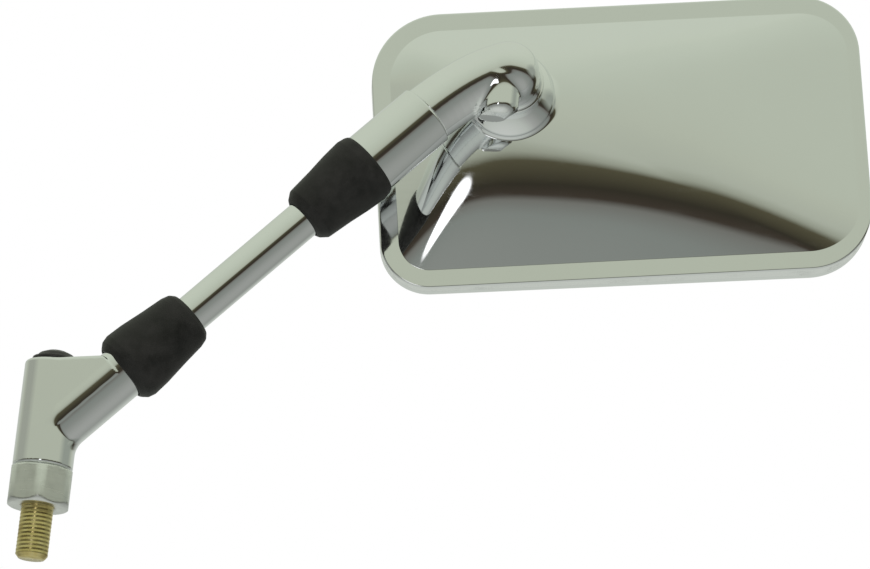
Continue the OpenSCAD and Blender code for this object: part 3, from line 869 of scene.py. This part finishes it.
@dataclass
class Stem:
    """The rod between the balls, the arm socket and the two rubber boots."""

    finishes: Finishes
    layout: Layout
    rod_r: float = 6.0
    arm_r: float = 10.15
    seam_at: float = 31.0
    branch_r: float = 8.25
    cavity_r: float = 9.35

    def build(self) -> list[bpy.types.Object]:
        """Makes the rod, the arm socket and both boots."""
        lower = [
            Corner(9.9, -9.15, 0.6),
            Corner(11.0, -7.9, 1.2),
            Corner(11.58, -5.7, 1.5),
            Corner(11.3, -0.5, 3.0),
            Corner(10.3, 7.6, 3.0),
            Corner(9.6, 14.6, 1.5),
            Corner(8.9, 17.0, 1.6),
            Corner(7.6, 18.3, 0.9),
        ]
        upper = [
            Corner(11.0, -6.1, 0.6),
            Corner(11.45, -3.6, 2.0),
            Corner(10.95, 2.6, 3.0),
            Corner(10.1, 9.2, 3.0),
            Corner(9.5, 15.6, 1.5),
            Corner(9.3, 17.6, 1.2),
            Corner(7.7, 19.7, 1.2),
        ]
        at_lower, at_upper = self.layout.lower_socket(), self.layout.upper_socket()
        lower_bodies, upper_bodies = (Body.LOWER_COLLAR, Body.ROD), (Body.UPPER_COLLAR, Body.ROD)
        return [
            self.rod(),
            self.arm(),
            self.boot("boot_lower", "lower_boot", at_lower, lower, -9.8, self.branch_r + 0.3, 18.6, lower_bodies),
            self.boot("boot_upper", "upper_boot", at_upper, upper, -7.0, self.arm_r + 0.1, 20.5, upper_bodies),
        ]

    def rod(self) -> bpy.types.Object:
        """The plain round rod, drilled at both ends for the ball studs."""
        length = (self.layout.upper_ball - self.layout.lower_ball).length
        a, b = 9.5, length - 9.5
        profile = [
            Corner(3.05, a, 0.2),
            Corner(self.rod_r, a, 0.8),
            Corner(self.rod_r, b, 0.8),
            Corner(3.05, b, 0.2),
            Corner(3.05, b - 12.5),
            Corner(0, b - 12.5),
        ]
        other = [Corner(3.05, a, 0.2), Corner(3.05, a + 12.5), Corner(0, a + 12.5)]
        bm = bmesh.new()
        lathe(bm, softened(other)[::-1] + softened(profile)[1:], self.layout.lower_socket(), 128)
        obj = publish(bm, "stem_rod_chrome")
        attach(obj, Body.ROD.value)
        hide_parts("stem_rod")
        return self.finishes.dress(obj, "chrome")

    def arm(self) -> bpy.types.Object:
        """The thicker tube above the upper boot, with its bore and spigot hole."""
        seam = -self.seam_at
        profile = [
            Corner(self.arm_r, seam, 0.45),
            Corner(self.arm_r, -5.8, 0.4),
            Corner(self.branch_r, -5.8, 0.2),
            Corner(self.branch_r, 1.0, 0.3),
            Corner(6.3, 1.0, 0.3),
            Corner(6.3, -16.5),
            Corner(0.0, -16.5),
        ]
        end = [Corner(self.arm_r, seam, 0.45), Corner(7.5, seam, 0.2), Corner(7.5, seam + 12.3), Corner(0, seam + 12.3)]
        bm = bmesh.new()
        lathe(bm, softened(end[::-1] + profile[1:]), self.layout.upper_socket(), 128)
        obj = publish(bm, "arm_socket_chrome")
        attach(obj, Body.ARM.value)
        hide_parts("arm_socket")
        return self.finishes.dress(obj, "chrome")

    def boot(
        self,
        name: str,
        node: str,
        place: Matrix,
        bulge: Sequence[Corner],
        mouth: float,
        mouth_r: float,
        reach: float,
        bodies: tuple[Body, Body],
    ) -> bpy.types.Object:
        """A rubber boot round its ball joint.

        Args:
            name: The piece's name.
            node: The CAD node it stands for.
            place: The socket's frame.
            bulge: Outer profile between the mouth and the narrow end.
            mouth: Height of its mouth.
            mouth_r: Inner radius of the mouth.
            reach: Height of its narrow end.
            bodies: The collar and the rod that it joins; not used.

        Returns:
            The boot.
        """
        outer = [Corner(mouth_r, mouth, 0.15), Corner(max(bulge[0].r - 0.7, mouth_r + 0.3), mouth, 0.5), *bulge]
        outer += [Corner(self.rod_r + 0.2, reach, 0.3)]
        inner = [
            Corner(self.rod_r + 0.2, reach - 4),
            Corner(self.cavity_r, 6.4, 0.5),
            Corner(self.cavity_r, -5.7, 0.1),
            Corner(mouth_r, -5.75, 0.1),
        ]
        profile = softened(outer + inner, closed=True, steps=6)
        bm = bmesh.new()
        lathe(bm, profile, place, 96, closed=True)
        obj = publish(bm, name)
        self.finishes.dress(obj, "rubber")
        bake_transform(obj)
        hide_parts(node)
        return obj


@dataclass
class Knuckle:
    """The elbow between the arm socket and the head, with its cupped hub."""

    finishes: Finishes
    layout: Layout
    seam_at: float = 31.0
    bar_r: float = 9.3
    post_r: float = 6.0
    post_low: float = 138.2
    post_x: float = 127.2
    bend: tuple[float, float] = (119.0, 151.8)
    elbow: tuple[float, float] = (129.1, 154.6)
    hub_r: float = 10.5
    boss_r: float = 18.0

    def bar(self, points: np.ndarray, seam: np.ndarray) -> np.ndarray:
        """Distance to the bar, which leaves the seam in line with the stem and bends level."""
        bend = np.array((self.bend[0], 0.0, self.bend[1]))
        elbow = np.array((self.elbow[0], 0.0, self.elbow[1]))
        steps = np.linspace(0, 1, 13)
        path = [seam * (1 - t) ** 2 + bend * 2 * t * (1 - t) + elbow * t**2 for t in steps]
        parts = [capsule_field(points, a, b, self.bar_r, self.bar_r) for a, b in zip(path, path[1:])]
        return np.min(parts, axis=0)

    def surface(self, points: np.ndarray) -> np.ndarray:
        """Distance to the elbow: a bent bar from the seam, an upright post and the hub behind it."""
        along = np.array(self.layout.stem)
        seam = np.array(self.layout.upper_ball) + along * self.seam_at
        pivot = np.array(self.layout.pivot)
        up, back = np.array((0.0, 0.0, 1.0)), np.array((0.0, 1.0, 0.0))
        bar = SwivelBase.eased(self.bar(points, seam), -((points - seam) @ along), 0.35)
        post = rod_field(points, np.array((self.post_x, -2.7, self.post_low)), up, 13.2, self.post_r, 0.6)
        hub = rod_field(points, np.array((pivot[0], 6.0, pivot[2])), back, 9.0, self.hub_r - 0.15, 0.4)
        elbow, root = np.array((self.elbow[0], 0.0, self.elbow[1])), np.array((pivot[0], 9.0, pivot[2]))
        neck = capsule_field(points, elbow, root, self.bar_r, 9.6)
        body = melted(melted(bar, post, 1.6), melted(neck, hub, 1.0), 1.0)
        spigot = rod_field(points, seam - along * 12.0, along, 14.0, 7.45, 0.4)
        body = np.minimum(body, spigot)
        offset = points - pivot
        ball = np.linalg.norm(offset, axis=1) - self.boss_r - 0.35
        radius = np.hypot(offset[:, 0], offset[:, 2])
        pocket = np.maximum(np.linalg.norm(offset, axis=1) - self.boss_r - 1.5, radius - (self.hub_r - 1.1))
        stud = np.maximum(radius - 3.05, -offset[:, 1] - pivot[1])
        body = carved(body, ball, 0.35)
        body = np.maximum(body, -pocket)
        return np.maximum(body, -stud)

    def build(self) -> list[bpy.types.Object]:
        """Makes the knuckle."""
        obj = drawn_on("knuckle", "knuckle_chrome", 0.42, self.surface, 14)
        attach(obj, Body.ARM.value)
        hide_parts("knuckle")
        return [self.finishes.dress(obj, "chrome")]


@dataclass
class Head:
    """The chrome shell, its front frame, the glass and its rubber gasket."""

    finishes: Finishes
    layout: Layout
    width: float = 155.8
    height: float = 90.7
    from_left: float = 42.9
    from_top: float = 31.1
    radii: tuple[float, float, float, float] = (15.5, 20.5, 19.0, 23.0)
    wall: float = 1.5
    depth: float = 13.5
    boss_wall: float = 2.4
    flat_low: float = 25.7
    flat_left: float = 18.0
    flat_right: float = 51.0
    border_round: float = 0.5
    border_wide: float = 5.8
    border_narrow: float = 4.0
    border_low: float = 4.0
    border_high: float = 7.5
    boss_r: float = 18.0
    boss_edge: float = 14.3
    hole_r: float = 6.73
    soft: float = 0.37
    tighter: float = 0.39
    settle: float = 3.55
    frame_w: float = 5.0
    arc_steps: int = 20
    sides: tuple[int, int, int, int] = (90, 46, 90, 46)
    corners: list[tuple[float, float, float, float]] = field(default_factory=list)

    def __post_init__(self) -> None:
        """Works out the corner centres: lower left, lower right, upper right, upper left."""
        left, right = -self.from_left, self.width - self.from_left
        top, low = self.from_top, self.from_top - self.height
        ll, lr, ur, ul = self.radii
        self.left, self.right, self.top, self.low = left, right, top, low
        self.corners = [
            (left + ll, low + ll, ll, 180),
            (right - lr, low + lr, lr, 270),
            (right - ur, top - ur, ur, 0),
            (left + ul, top - ul, ul, 90),
        ]
        self.around = 4 * self.arc_steps + sum(self.sides)
        self.rim_y = self.ball_y(self.boss_r, self.boss_edge) + self.boss_wall + self.depth

    def ball_y(self, radius: float, at: float) -> float:
        """Depth of a sphere round the pivot, at a distance from its axis."""
        return self.layout.pivot.y - math.sqrt(radius**2 - at**2)

    def corner_point(self, c: int, t: float, wide: float, narrow: float) -> Point2:
        """A point on one corner's arc, t of the way round it."""
        x, z, r, start = self.corners[c]
        side = narrow if c in (1, 2) else wide
        a = math.radians(start + 90 * t)
        return (x + (r - side) * math.cos(a), z + (r - wide) * math.sin(a))

    def loop(self, wide: float, narrow: float) -> list[Point2]:
        """The outline drawn in by wide at three sides and by narrow at the right."""
        points: list[Point2] = []
        for c in range(4):
            points += [self.corner_point(c, i / self.arc_steps, wide, narrow) for i in range(self.arc_steps)]
            p = self.corner_point(c, 1, wide, narrow)
            q = self.corner_point((c + 1) % 4, 0, wide, narrow)
            n = self.sides[c]
            points += [(p[0] + (q[0] - p[0]) * i / n, p[1] + (q[1] - p[1]) * i / n) for i in range(n)]
        return points

    def border(self, x: float) -> float:
        """Height of the rolled border above the rim, which grows to the right."""
        return self.border_low + (self.border_high - self.border_low) * (x - self.left) / self.width

    def rise(self, x: float, z: float, soft: float) -> float:
        """Height of the back above the rim: four facets and a flat, melted together."""
        low = self.border(x)
        room = self.depth - low
        left, right = self.left + self.border_wide, self.right - self.border_narrow
        below, above = self.low + self.border_wide, self.top - self.border_wide
        heights = (
            low + (x - left) * room / (-left - self.flat_left),
            low + (right - x) * room / (right - self.flat_right),
            low + (z - below) * room / (-below - self.flat_low),
            low + (above - z) * room / (above - self.boss_edge + 2),
            self.depth + 0.6,
        )
        total = sum(math.exp(-soft * (h - self.depth)) for h in heights)
        return self.depth - math.log(total) / soft

    def border_ring(self, wide: float, narrow: float, sink: float) -> Ring:
        """A ring drawn in from the outline and sunk below the border's own height."""
        return [(x, self.rim_y - self.border(x) + sink, z) for x, z in self.loop(wide, narrow)]

    def back_ring(self, share: float, sink: float) -> Ring:
        """A ring on the back, a share of the way from the crease to the boss."""
        soft = self.soft + self.tighter * (1 - share) ** 2
        ring = []
        for p in self.loop(self.border_wide, self.border_narrow):
            q = self.boss_edge / math.hypot(*p)
            x, z = p[0] * (1 - share + q * share), p[1] * (1 - share + q * share)
            settle = self.border(p[0]) - self.rise(*p, soft)
            ring.append((x, self.rim_y - self.rise(x, z, soft) - settle * (1 - share) ** self.settle + sink, z))
        return ring

    def boss_ring(self, at: float, y: float) -> Ring:
        """A ring round the pivot at one depth."""
        ring = []
        for x, z in self.loop(self.border_wide, self.border_narrow):
            q = at / math.hypot(x, z)
            ring.append((x * q, y, z * q))
        return ring

    def rows(self) -> list[Ring]:
        """Rings of the shell from the rim, over the border and back, to the boss and through to the inside."""
        wide, narrow, edge = self.border_wide, self.border_narrow, self.border_round
        rows = [[(x, self.rim_y, z) for x, z in self.loop(0, 0)]]
        for a in np.radians(np.linspace(0, 90, 11)):
            inset = edge * (1 - math.cos(a))
            rows.append(self.border_ring(inset, inset, edge * (1 - math.sin(a))))
        for t in (0.05, 0.35, 0.7, 0.985):
            rows.append(self.border_ring(edge + (wide - edge) * t, edge + (narrow - edge) * t, 0))
        rows += [self.back_ring(t**1.25, 0) for t in (0, 0.006, 0.014)]
        rows += [self.back_ring((i / 56) ** 1.25, 0) for i in range(1, 57)]
        foot = rows[-1]
        edge_y = self.ball_y(self.boss_r, self.boss_edge)
        for t in (0.04, 0.5, 0.88):
            rows.append([(x, y + (edge_y - y) * t, z) for x, y, z in foot])
        for t in np.linspace(0, 1, 18):
            at = self.boss_edge - 0.2 + (self.hole_r - self.boss_edge + 0.2) * t
            rows.append(self.boss_ring(at, self.ball_y(self.boss_r, at)))
        for t in np.linspace(1, 0, 12):
            at = self.boss_edge - 1.0 + (self.hole_r - self.boss_edge + 1.0) * t
            rows.append(self.boss_ring(at, self.ball_y(self.boss_r - self.wall, at)))
        sink = self.wall * 1.15
        rows.append([(x * 0.937, y + sink, z * 0.937) for x, y, z in foot])
        rows += [self.back_ring(share, sink) for share in (0.86, 0.72, 0.6, 0.48, 0.36, 0.24, 0.14, 0.06)]
        rows += [self.border_ring(wide, narrow, self.wall), self.border_ring(self.wall, self.wall, self.wall)]
        rows.append([(x, self.rim_y, z) for x, z in self.loop(self.wall, self.wall)])
        rows.append(rows[0])
        return rows

    def shell(self) -> bpy.types.Object:
        """The chrome back shell."""
        rows = self.rows()
        bm = bmesh.new()
        draped_grid(bm, self.around, len(rows) - 1, lambda i, j: rows[j][i % self.around])
        bmesh.ops.transform(bm, matrix=self.layout.head_frame(), verts=bm.verts)
        obj = publish(bm, "head_shell")
        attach(obj, Body.HEAD.value)
        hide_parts("back_shell")
        return self.finishes.dress(obj, "chrome")

    def swept(self, name: str, profile: Sequence[Corner], node: str, key: str) -> bpy.types.Object:
        """A frame swept round the outline.

        Args:
            name: The piece's name.
            profile: Closed section as inset from the outline and depth.
            node: The CAD node it stands for.
            key: Its finish.

        Returns:
            The new piece.
        """
        section = softened(profile, closed=True, steps=5, guard=0.08)
        section.append(section[0])
        loops = [[(x, y, z) for x, z in self.loop(inset, inset)] for inset, y in section]
        bm = bmesh.new()
        draped_grid(bm, self.around, len(section) - 1, lambda i, j: loops[j][i % self.around])
        bmesh.ops.transform(bm, matrix=self.layout.head_frame(), verts=bm.verts)
        obj = publish(bm, name)
        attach(obj, Body.HEAD.value)
        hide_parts(node)
        return self.finishes.dress(obj, key)

    def pane(
        self, name: str, inset: float, low: float, high: float, edge: float, node: str, key: str
    ) -> bpy.types.Object:
        """A flat plate with the head's outline and softened edges.

        Args:
            name: The piece's name.
            inset: How far inside the head's outline it ends.
            low: Depth of its back face.
            high: Depth of its front face.
            edge: Size of its edge bevel.
            node: The CAD node it stands for.
            key: Its finish.

        Returns:
            The new piece.
        """
        bm = bmesh.new()
        ring = [bm.verts.new((x, low, z)) for x, z in self.loop(inset, inset)]
        face = bm.faces.new(ring)
        made = bmesh.ops.extrude_face_region(bm, geom=[face])["geom"]
        top = [v for v in made if isinstance(v, bmesh.types.BMVert)]
        bmesh.ops.translate(bm, vec=(0, high - low, 0), verts=top)
        rims = [e for e in bm.edges if len(e.link_faces) == 2 and abs(e.verts[0].co.y - e.verts[1].co.y) < 1e-6]
        bmesh.ops.bevel(
            bm, geom=rims, offset=edge, segments=2, profile=0.5, affect="EDGES", material=-1, clamp_overlap=True
        )
        bmesh.ops.transform(bm, matrix=self.layout.head_frame(), verts=bm.verts)
        obj = publish(bm, name, smooth=False)
        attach(obj, Body.HEAD.value)
        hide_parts(node)
        return self.finishes.dress(obj, key)

    def build(self) -> list[bpy.types.Object]:
        """Makes the shell, the frame, the gasket, the glass and what backs it."""
        rim, w = self.rim_y, self.frame_w
        glass_y = rim + 0.6
        lip_y = glass_y + 2.4
        front = lip_y + 1.2
        frame_profile = [
            Corner(0, rim, 0.15),
            Corner(w - 1.9, rim, 0.15),
            Corner(w - 1.9, lip_y, 0.1),
            Corner(w, lip_y, 0.2),
            Corner(w, front, 0.55),
            Corner(0, front, 1.1),
        ]
        gasket = [
            Corner(w - 1.85, rim + 0.02, 0.1),
            Corner(w - 0.85, rim + 0.02, 0.1),
            Corner(w - 0.85, glass_y + 1.95, 0.05),
            Corner(w + 0.5, glass_y + 1.95, 0.1),
            Corner(w + 0.5, lip_y - 0.02, 0.2),
            Corner(w - 1.85, lip_y - 0.02, 0.1),
        ]
        return [
            self.shell(),
            self.swept("front_bezel", frame_profile, "front_frame", "chrome"),
            self.swept("glass_gasket", gasket, "gasket", "rubber"),
            self.pane("mirror_pane", w - 0.8, glass_y, glass_y + 1.9, 0.25, "glass", "glass"),
            self.pane("glass_backing_pad", w + 1, rim, glass_y, 0.1, "glass_pad", "rubber"),
            self.pane("glass_backing_plate", 2.5, rim - 1.3, rim, 0.2, "glass_carrier", "black_plastic"),
        ]


@dataclass
class HiddenParts:
    """Pieces inside the joints: they keep their CAD shape and get a finish."""

    finishes: Finishes
    steel: tuple[str, ...] = (
        "lower_spring",
        "upper_spring",
        "lower_socket_nut",
        "upper_socket_nut",
        "lower_ball_stud",
        "upper_ball_stud",
        "pivot_stud",
        "spherical_washer",
        "pivot_spring",
        "flat_washer",
        "pivot_nut",
    )
    plastic: tuple[str, ...] = ("lower_ball_seat", "upper_ball_seat", "inner_liner")
    black: tuple[str, ...] = ("hub_liner",)

    def build(self) -> list[bpy.types.Object]:
        """Dresses the CAD nodes."""
        out = []
        for names, key in ((self.steel, "steel"), (self.plastic, "acetal"), (self.black, "black_plastic")):
            for name in names:
                out.append(self.finishes.dress(frame["nodes"][name], key))
        return out


# ---- Studio


@dataclass(frozen=True)
class Spot:
    """A bright or dark oval on the wall of the mirrored room, as shares of the room's radius."""

    at: tuple[float, float, float]
    size: tuple[float, float, float]
    tone: tuple[float, float, float] = (1.7, 1.7, 1.7)
    turn: float = 0.0
    fade: float = 0.3


@dataclass
class Studio:
    """Floor, surroundings, lamps and the camera of the photograph."""

    aim: tuple[float, float, float] = (0.11313, 0.0, 0.08338)
    distance: float = 1.55792
    elevation: float = 16.0
    roll: float = 6.01
    focal_px: float = 5047.7
    width_px: int = 870
    floor_z: float = -0.42
    tent_r: float = 8.0
    spots: tuple[Spot, ...] = (
        Spot((-0.96, 0.12, 0.2), (0.5, 0.62, 0.24), (0.36, 0.38, 0.32), fade=0.6),
        Spot((0.96, 0.12, 0.2), (0.5, 0.6, 0.3), (0.31, 0.34, 0.29), fade=0.6),
        Spot((-0.75, 0.5, -0.04), (0.45, 0.5, 0.2), (0.46, 0.49, 0.42), fade=0.5),
        Spot((-0.14, -0.986, -0.07), (0.09, 1.0, 0.17), turn=0.12, fade=0.15),
    )

    def camera(self) -> None:
        """A camera where the photographer's stood, from a fit to the photograph's landmarks."""
        e, r = math.radians(self.elevation), math.radians(self.roll)
        ahead = Vector((0, math.cos(e), math.sin(e)))
        up = Vector((0, -math.sin(e), math.cos(e)))
        right = Vector((1, 0, 0))
        turned_right = right * math.cos(r) + up * math.sin(r)
        turned_up = up * math.cos(r) - right * math.sin(r)
        data = bpy.data.cameras.new("camera")
        data.sensor_width = 36
        data.lens = self.focal_px / self.width_px * 36
        data.clip_start, data.clip_end = 0.05, 60
        data.dof.use_dof = False
        camera = bpy.data.objects.new("camera", data)
        bpy.context.scene.collection.objects.link(camera)
        rows = Matrix((turned_right, turned_up, -ahead)).transposed()
        camera.matrix_world = Matrix.Translation(Vector(self.aim) - ahead * self.distance) @ rows.to_4x4()
        bpy.context.scene.camera = camera

    def world(self) -> None:
        """White where the camera or a clear reflection meets it, plain grey light otherwise."""
        world = bpy.data.worlds.new("studio")
        bpy.context.scene.world = world
        world.use_nodes = True
        tree = world.node_tree
        light, output = tree.nodes["Background"], tree.nodes["World Output"]
        light.inputs[0].default_value = (0.9, 0.93, 0.95, 1)
        light.inputs[1].default_value = 0.75
        white = tree.nodes.new("ShaderNodeBackground")
        white.inputs[0].default_value = (1, 1, 1, 1)
        path = tree.nodes.new("ShaderNodeLightPath")
        seen = path.outputs["Is Camera Ray"]
        for name in ("Is Glossy Ray", "Is Transmission Ray"):
            most = tree.nodes.new("ShaderNodeMath")
            most.operation = "MAXIMUM"
            tree.links.new(seen, most.inputs[0])
            tree.links.new(path.outputs[name], most.inputs[1])
            seen = most.outputs[0]
        mix = tree.nodes.new("ShaderNodeMixShader")
        tree.links.new(seen, mix.inputs[0])
        tree.links.new(light.outputs[0], mix.inputs[1])
        tree.links.new(white.outputs[0], mix.inputs[2])
        tree.links.new(mix.outputs[0], output.inputs[0])

    def tent(self) -> None:
        """The room that the chrome mirrors: pale above, a dark band at eye height, grey below."""
        bm = bmesh.new()
        bmesh.ops.create_uvsphere(bm, u_segments=96, v_segments=48, radius=self.tent_r)
        mesh = bpy.data.meshes.new("tent")
        bm.to_mesh(mesh)
        bm.free()
        tent = bpy.data.objects.new("tent", mesh)
        bpy.context.scene.collection.objects.link(tent)
        recipe = Recipe("tent_wall")
        tree = recipe.tree
        tree.nodes.remove(recipe.shader)
        split = recipe.add("SeparateXYZ", Vector=recipe.place)
        height = recipe.between(split.outputs[2], 0.0, 1.0, -self.tent_r, self.tent_r)

        def at(degrees: float) -> float:
            """Ramp position of an elevation."""
            return (math.sin(math.radians(degrees)) + 1) / 2

        color = recipe.ramp(
            height,
            (at(-90), (0.60, 0.62, 0.58)),
            (at(-50), (0.50, 0.53, 0.48)),
            (at(-35), (0.37, 0.38, 0.355)),
            (at(-20), (0.265, 0.28, 0.255)),
            (at(-11), (0.228, 0.248, 0.224)),
            (at(-6.3), (0.18, 0.18, 0.16)),
            (at(-4), (0.05, 0.04, 0.03)),
            (at(0), (0.036, 0.032, 0.022)),
            (at(7.2), (0.085, 0.078, 0.046)),
            (at(8.9), (0.33, 0.35, 0.275)),
            (at(11), (0.448, 0.478, 0.39)),
            (at(16), (0.493, 0.528, 0.425)),
            (at(22), (0.515, 0.56, 0.455)),
            (at(35), (0.555, 0.605, 0.495)),
            (at(52), (0.59, 0.64, 0.525)),
            (at(90), (0.60, 0.65, 0.54)),
        )
        away = recipe.between(split.outputs[1], 0.0, 1.0, 0.55 * self.tent_r, 0.95 * self.tent_r)
        color = recipe.mixed(away, color, (0.56, 0.59, 0.54))
        for spot in self.spots:
            place = tuple(v * self.tent_r for v in spot.at)
            size = tuple(v * self.tent_r for v in spot.size)
            color = recipe.mixed(recipe.patch(place, spot.turn, size, spot.fade), color, spot.tone)
        glow = recipe.add("Emission", Color=color, Strength=1.0)
        tree.links.new(glow.outputs[0], tree.nodes["Material Output"].inputs[0])
        tent.data.materials.append(recipe.material)
        tent.visible_camera = False
        tent.visible_diffuse = False
        tent.visible_shadow = False
        tent.visible_transmission = False
        tent.visible_volume_scatter = False

    def floor(self) -> None:
        """A plain pale floor below the mirror."""
        bm = bmesh.new()
        bmesh.ops.create_grid(bm, x_segments=1, y_segments=1, size=6)
        bmesh.ops.translate(bm, vec=(0, 0, self.floor_z), verts=bm.verts)
        mesh = bpy.data.meshes.new("floor")
        bm.to_mesh(mesh)
        bm.free()
        floor = bpy.data.objects.new("floor", mesh)
        bpy.context.scene.collection.objects.link(floor)
        recipe = Recipe("pale_floor")
        tone = recipe.ramp(recipe.noise(3), (0.3, (0.86, 0.86, 0.86)), (0.7, (0.88, 0.88, 0.88)))
        recipe.set(Base_Color=tone, Roughness=0.9)
        floor.data.materials.append(recipe.material)
        floor.visible_glossy = False

    def lamp(self, name: str, at: Sequence[float], size: float, power: float, glossy: bool) -> None:
        """A square lamp that faces the mirror.

        Args:
            name: The lamp's name.
            at: Its place in metres.
            size: Its side in metres.
            power: Its power in watts.
            glossy: Whether chrome shows it as a highlight.
        """
        data = bpy.data.lights.new(name, "AREA")
        data.shape = "SQUARE"
        data.size, data.energy = size, power
        lamp = bpy.data.objects.new(name, data)
        bpy.context.scene.collection.objects.link(lamp)
        lamp.location = at
        lamp.rotation_mode = "QUATERNION"
        lamp.rotation_quaternion = (Vector(self.aim) - Vector(at)).to_track_quat("-Z", "Y")
        lamp.visible_camera = False
        lamp.visible_glossy = glossy

    def build(self) -> None:
        """Sets up the whole studio."""
        bpy.context.scene.view_settings.view_transform = "Standard"
        self.camera()
        self.world()
        self.tent()
        self.floor()
        self.lamp("key", (-1.2, -1.6, 1.9), 1.1, 32, False)
        self.lamp("fill", (1.8, -1.4, 1.0), 1.4, 16, False)


def main() -> None:
    """Builds the mirror in order, from the stud to the glass."""
    logging.basicConfig(level=logging.INFO, format="%(name)s: %(message)s")
    finishes = Finishes()
    layout = Layout.read()
    assemblies = [
        MountHardware(finishes),
        SwivelBase(finishes, layout),
        Stem(finishes, layout),
        Knuckle(finishes, layout),
        Head(finishes, layout),
        HiddenParts(finishes),
    ]
    for assembly in assemblies:
        for piece in assembly.build():
            LOG.info("%s: %s, %d faces", type(assembly).__name__, piece.name, len(piece.data.polygons))
    Studio().build()


if __name__ == "__main__":
    main()
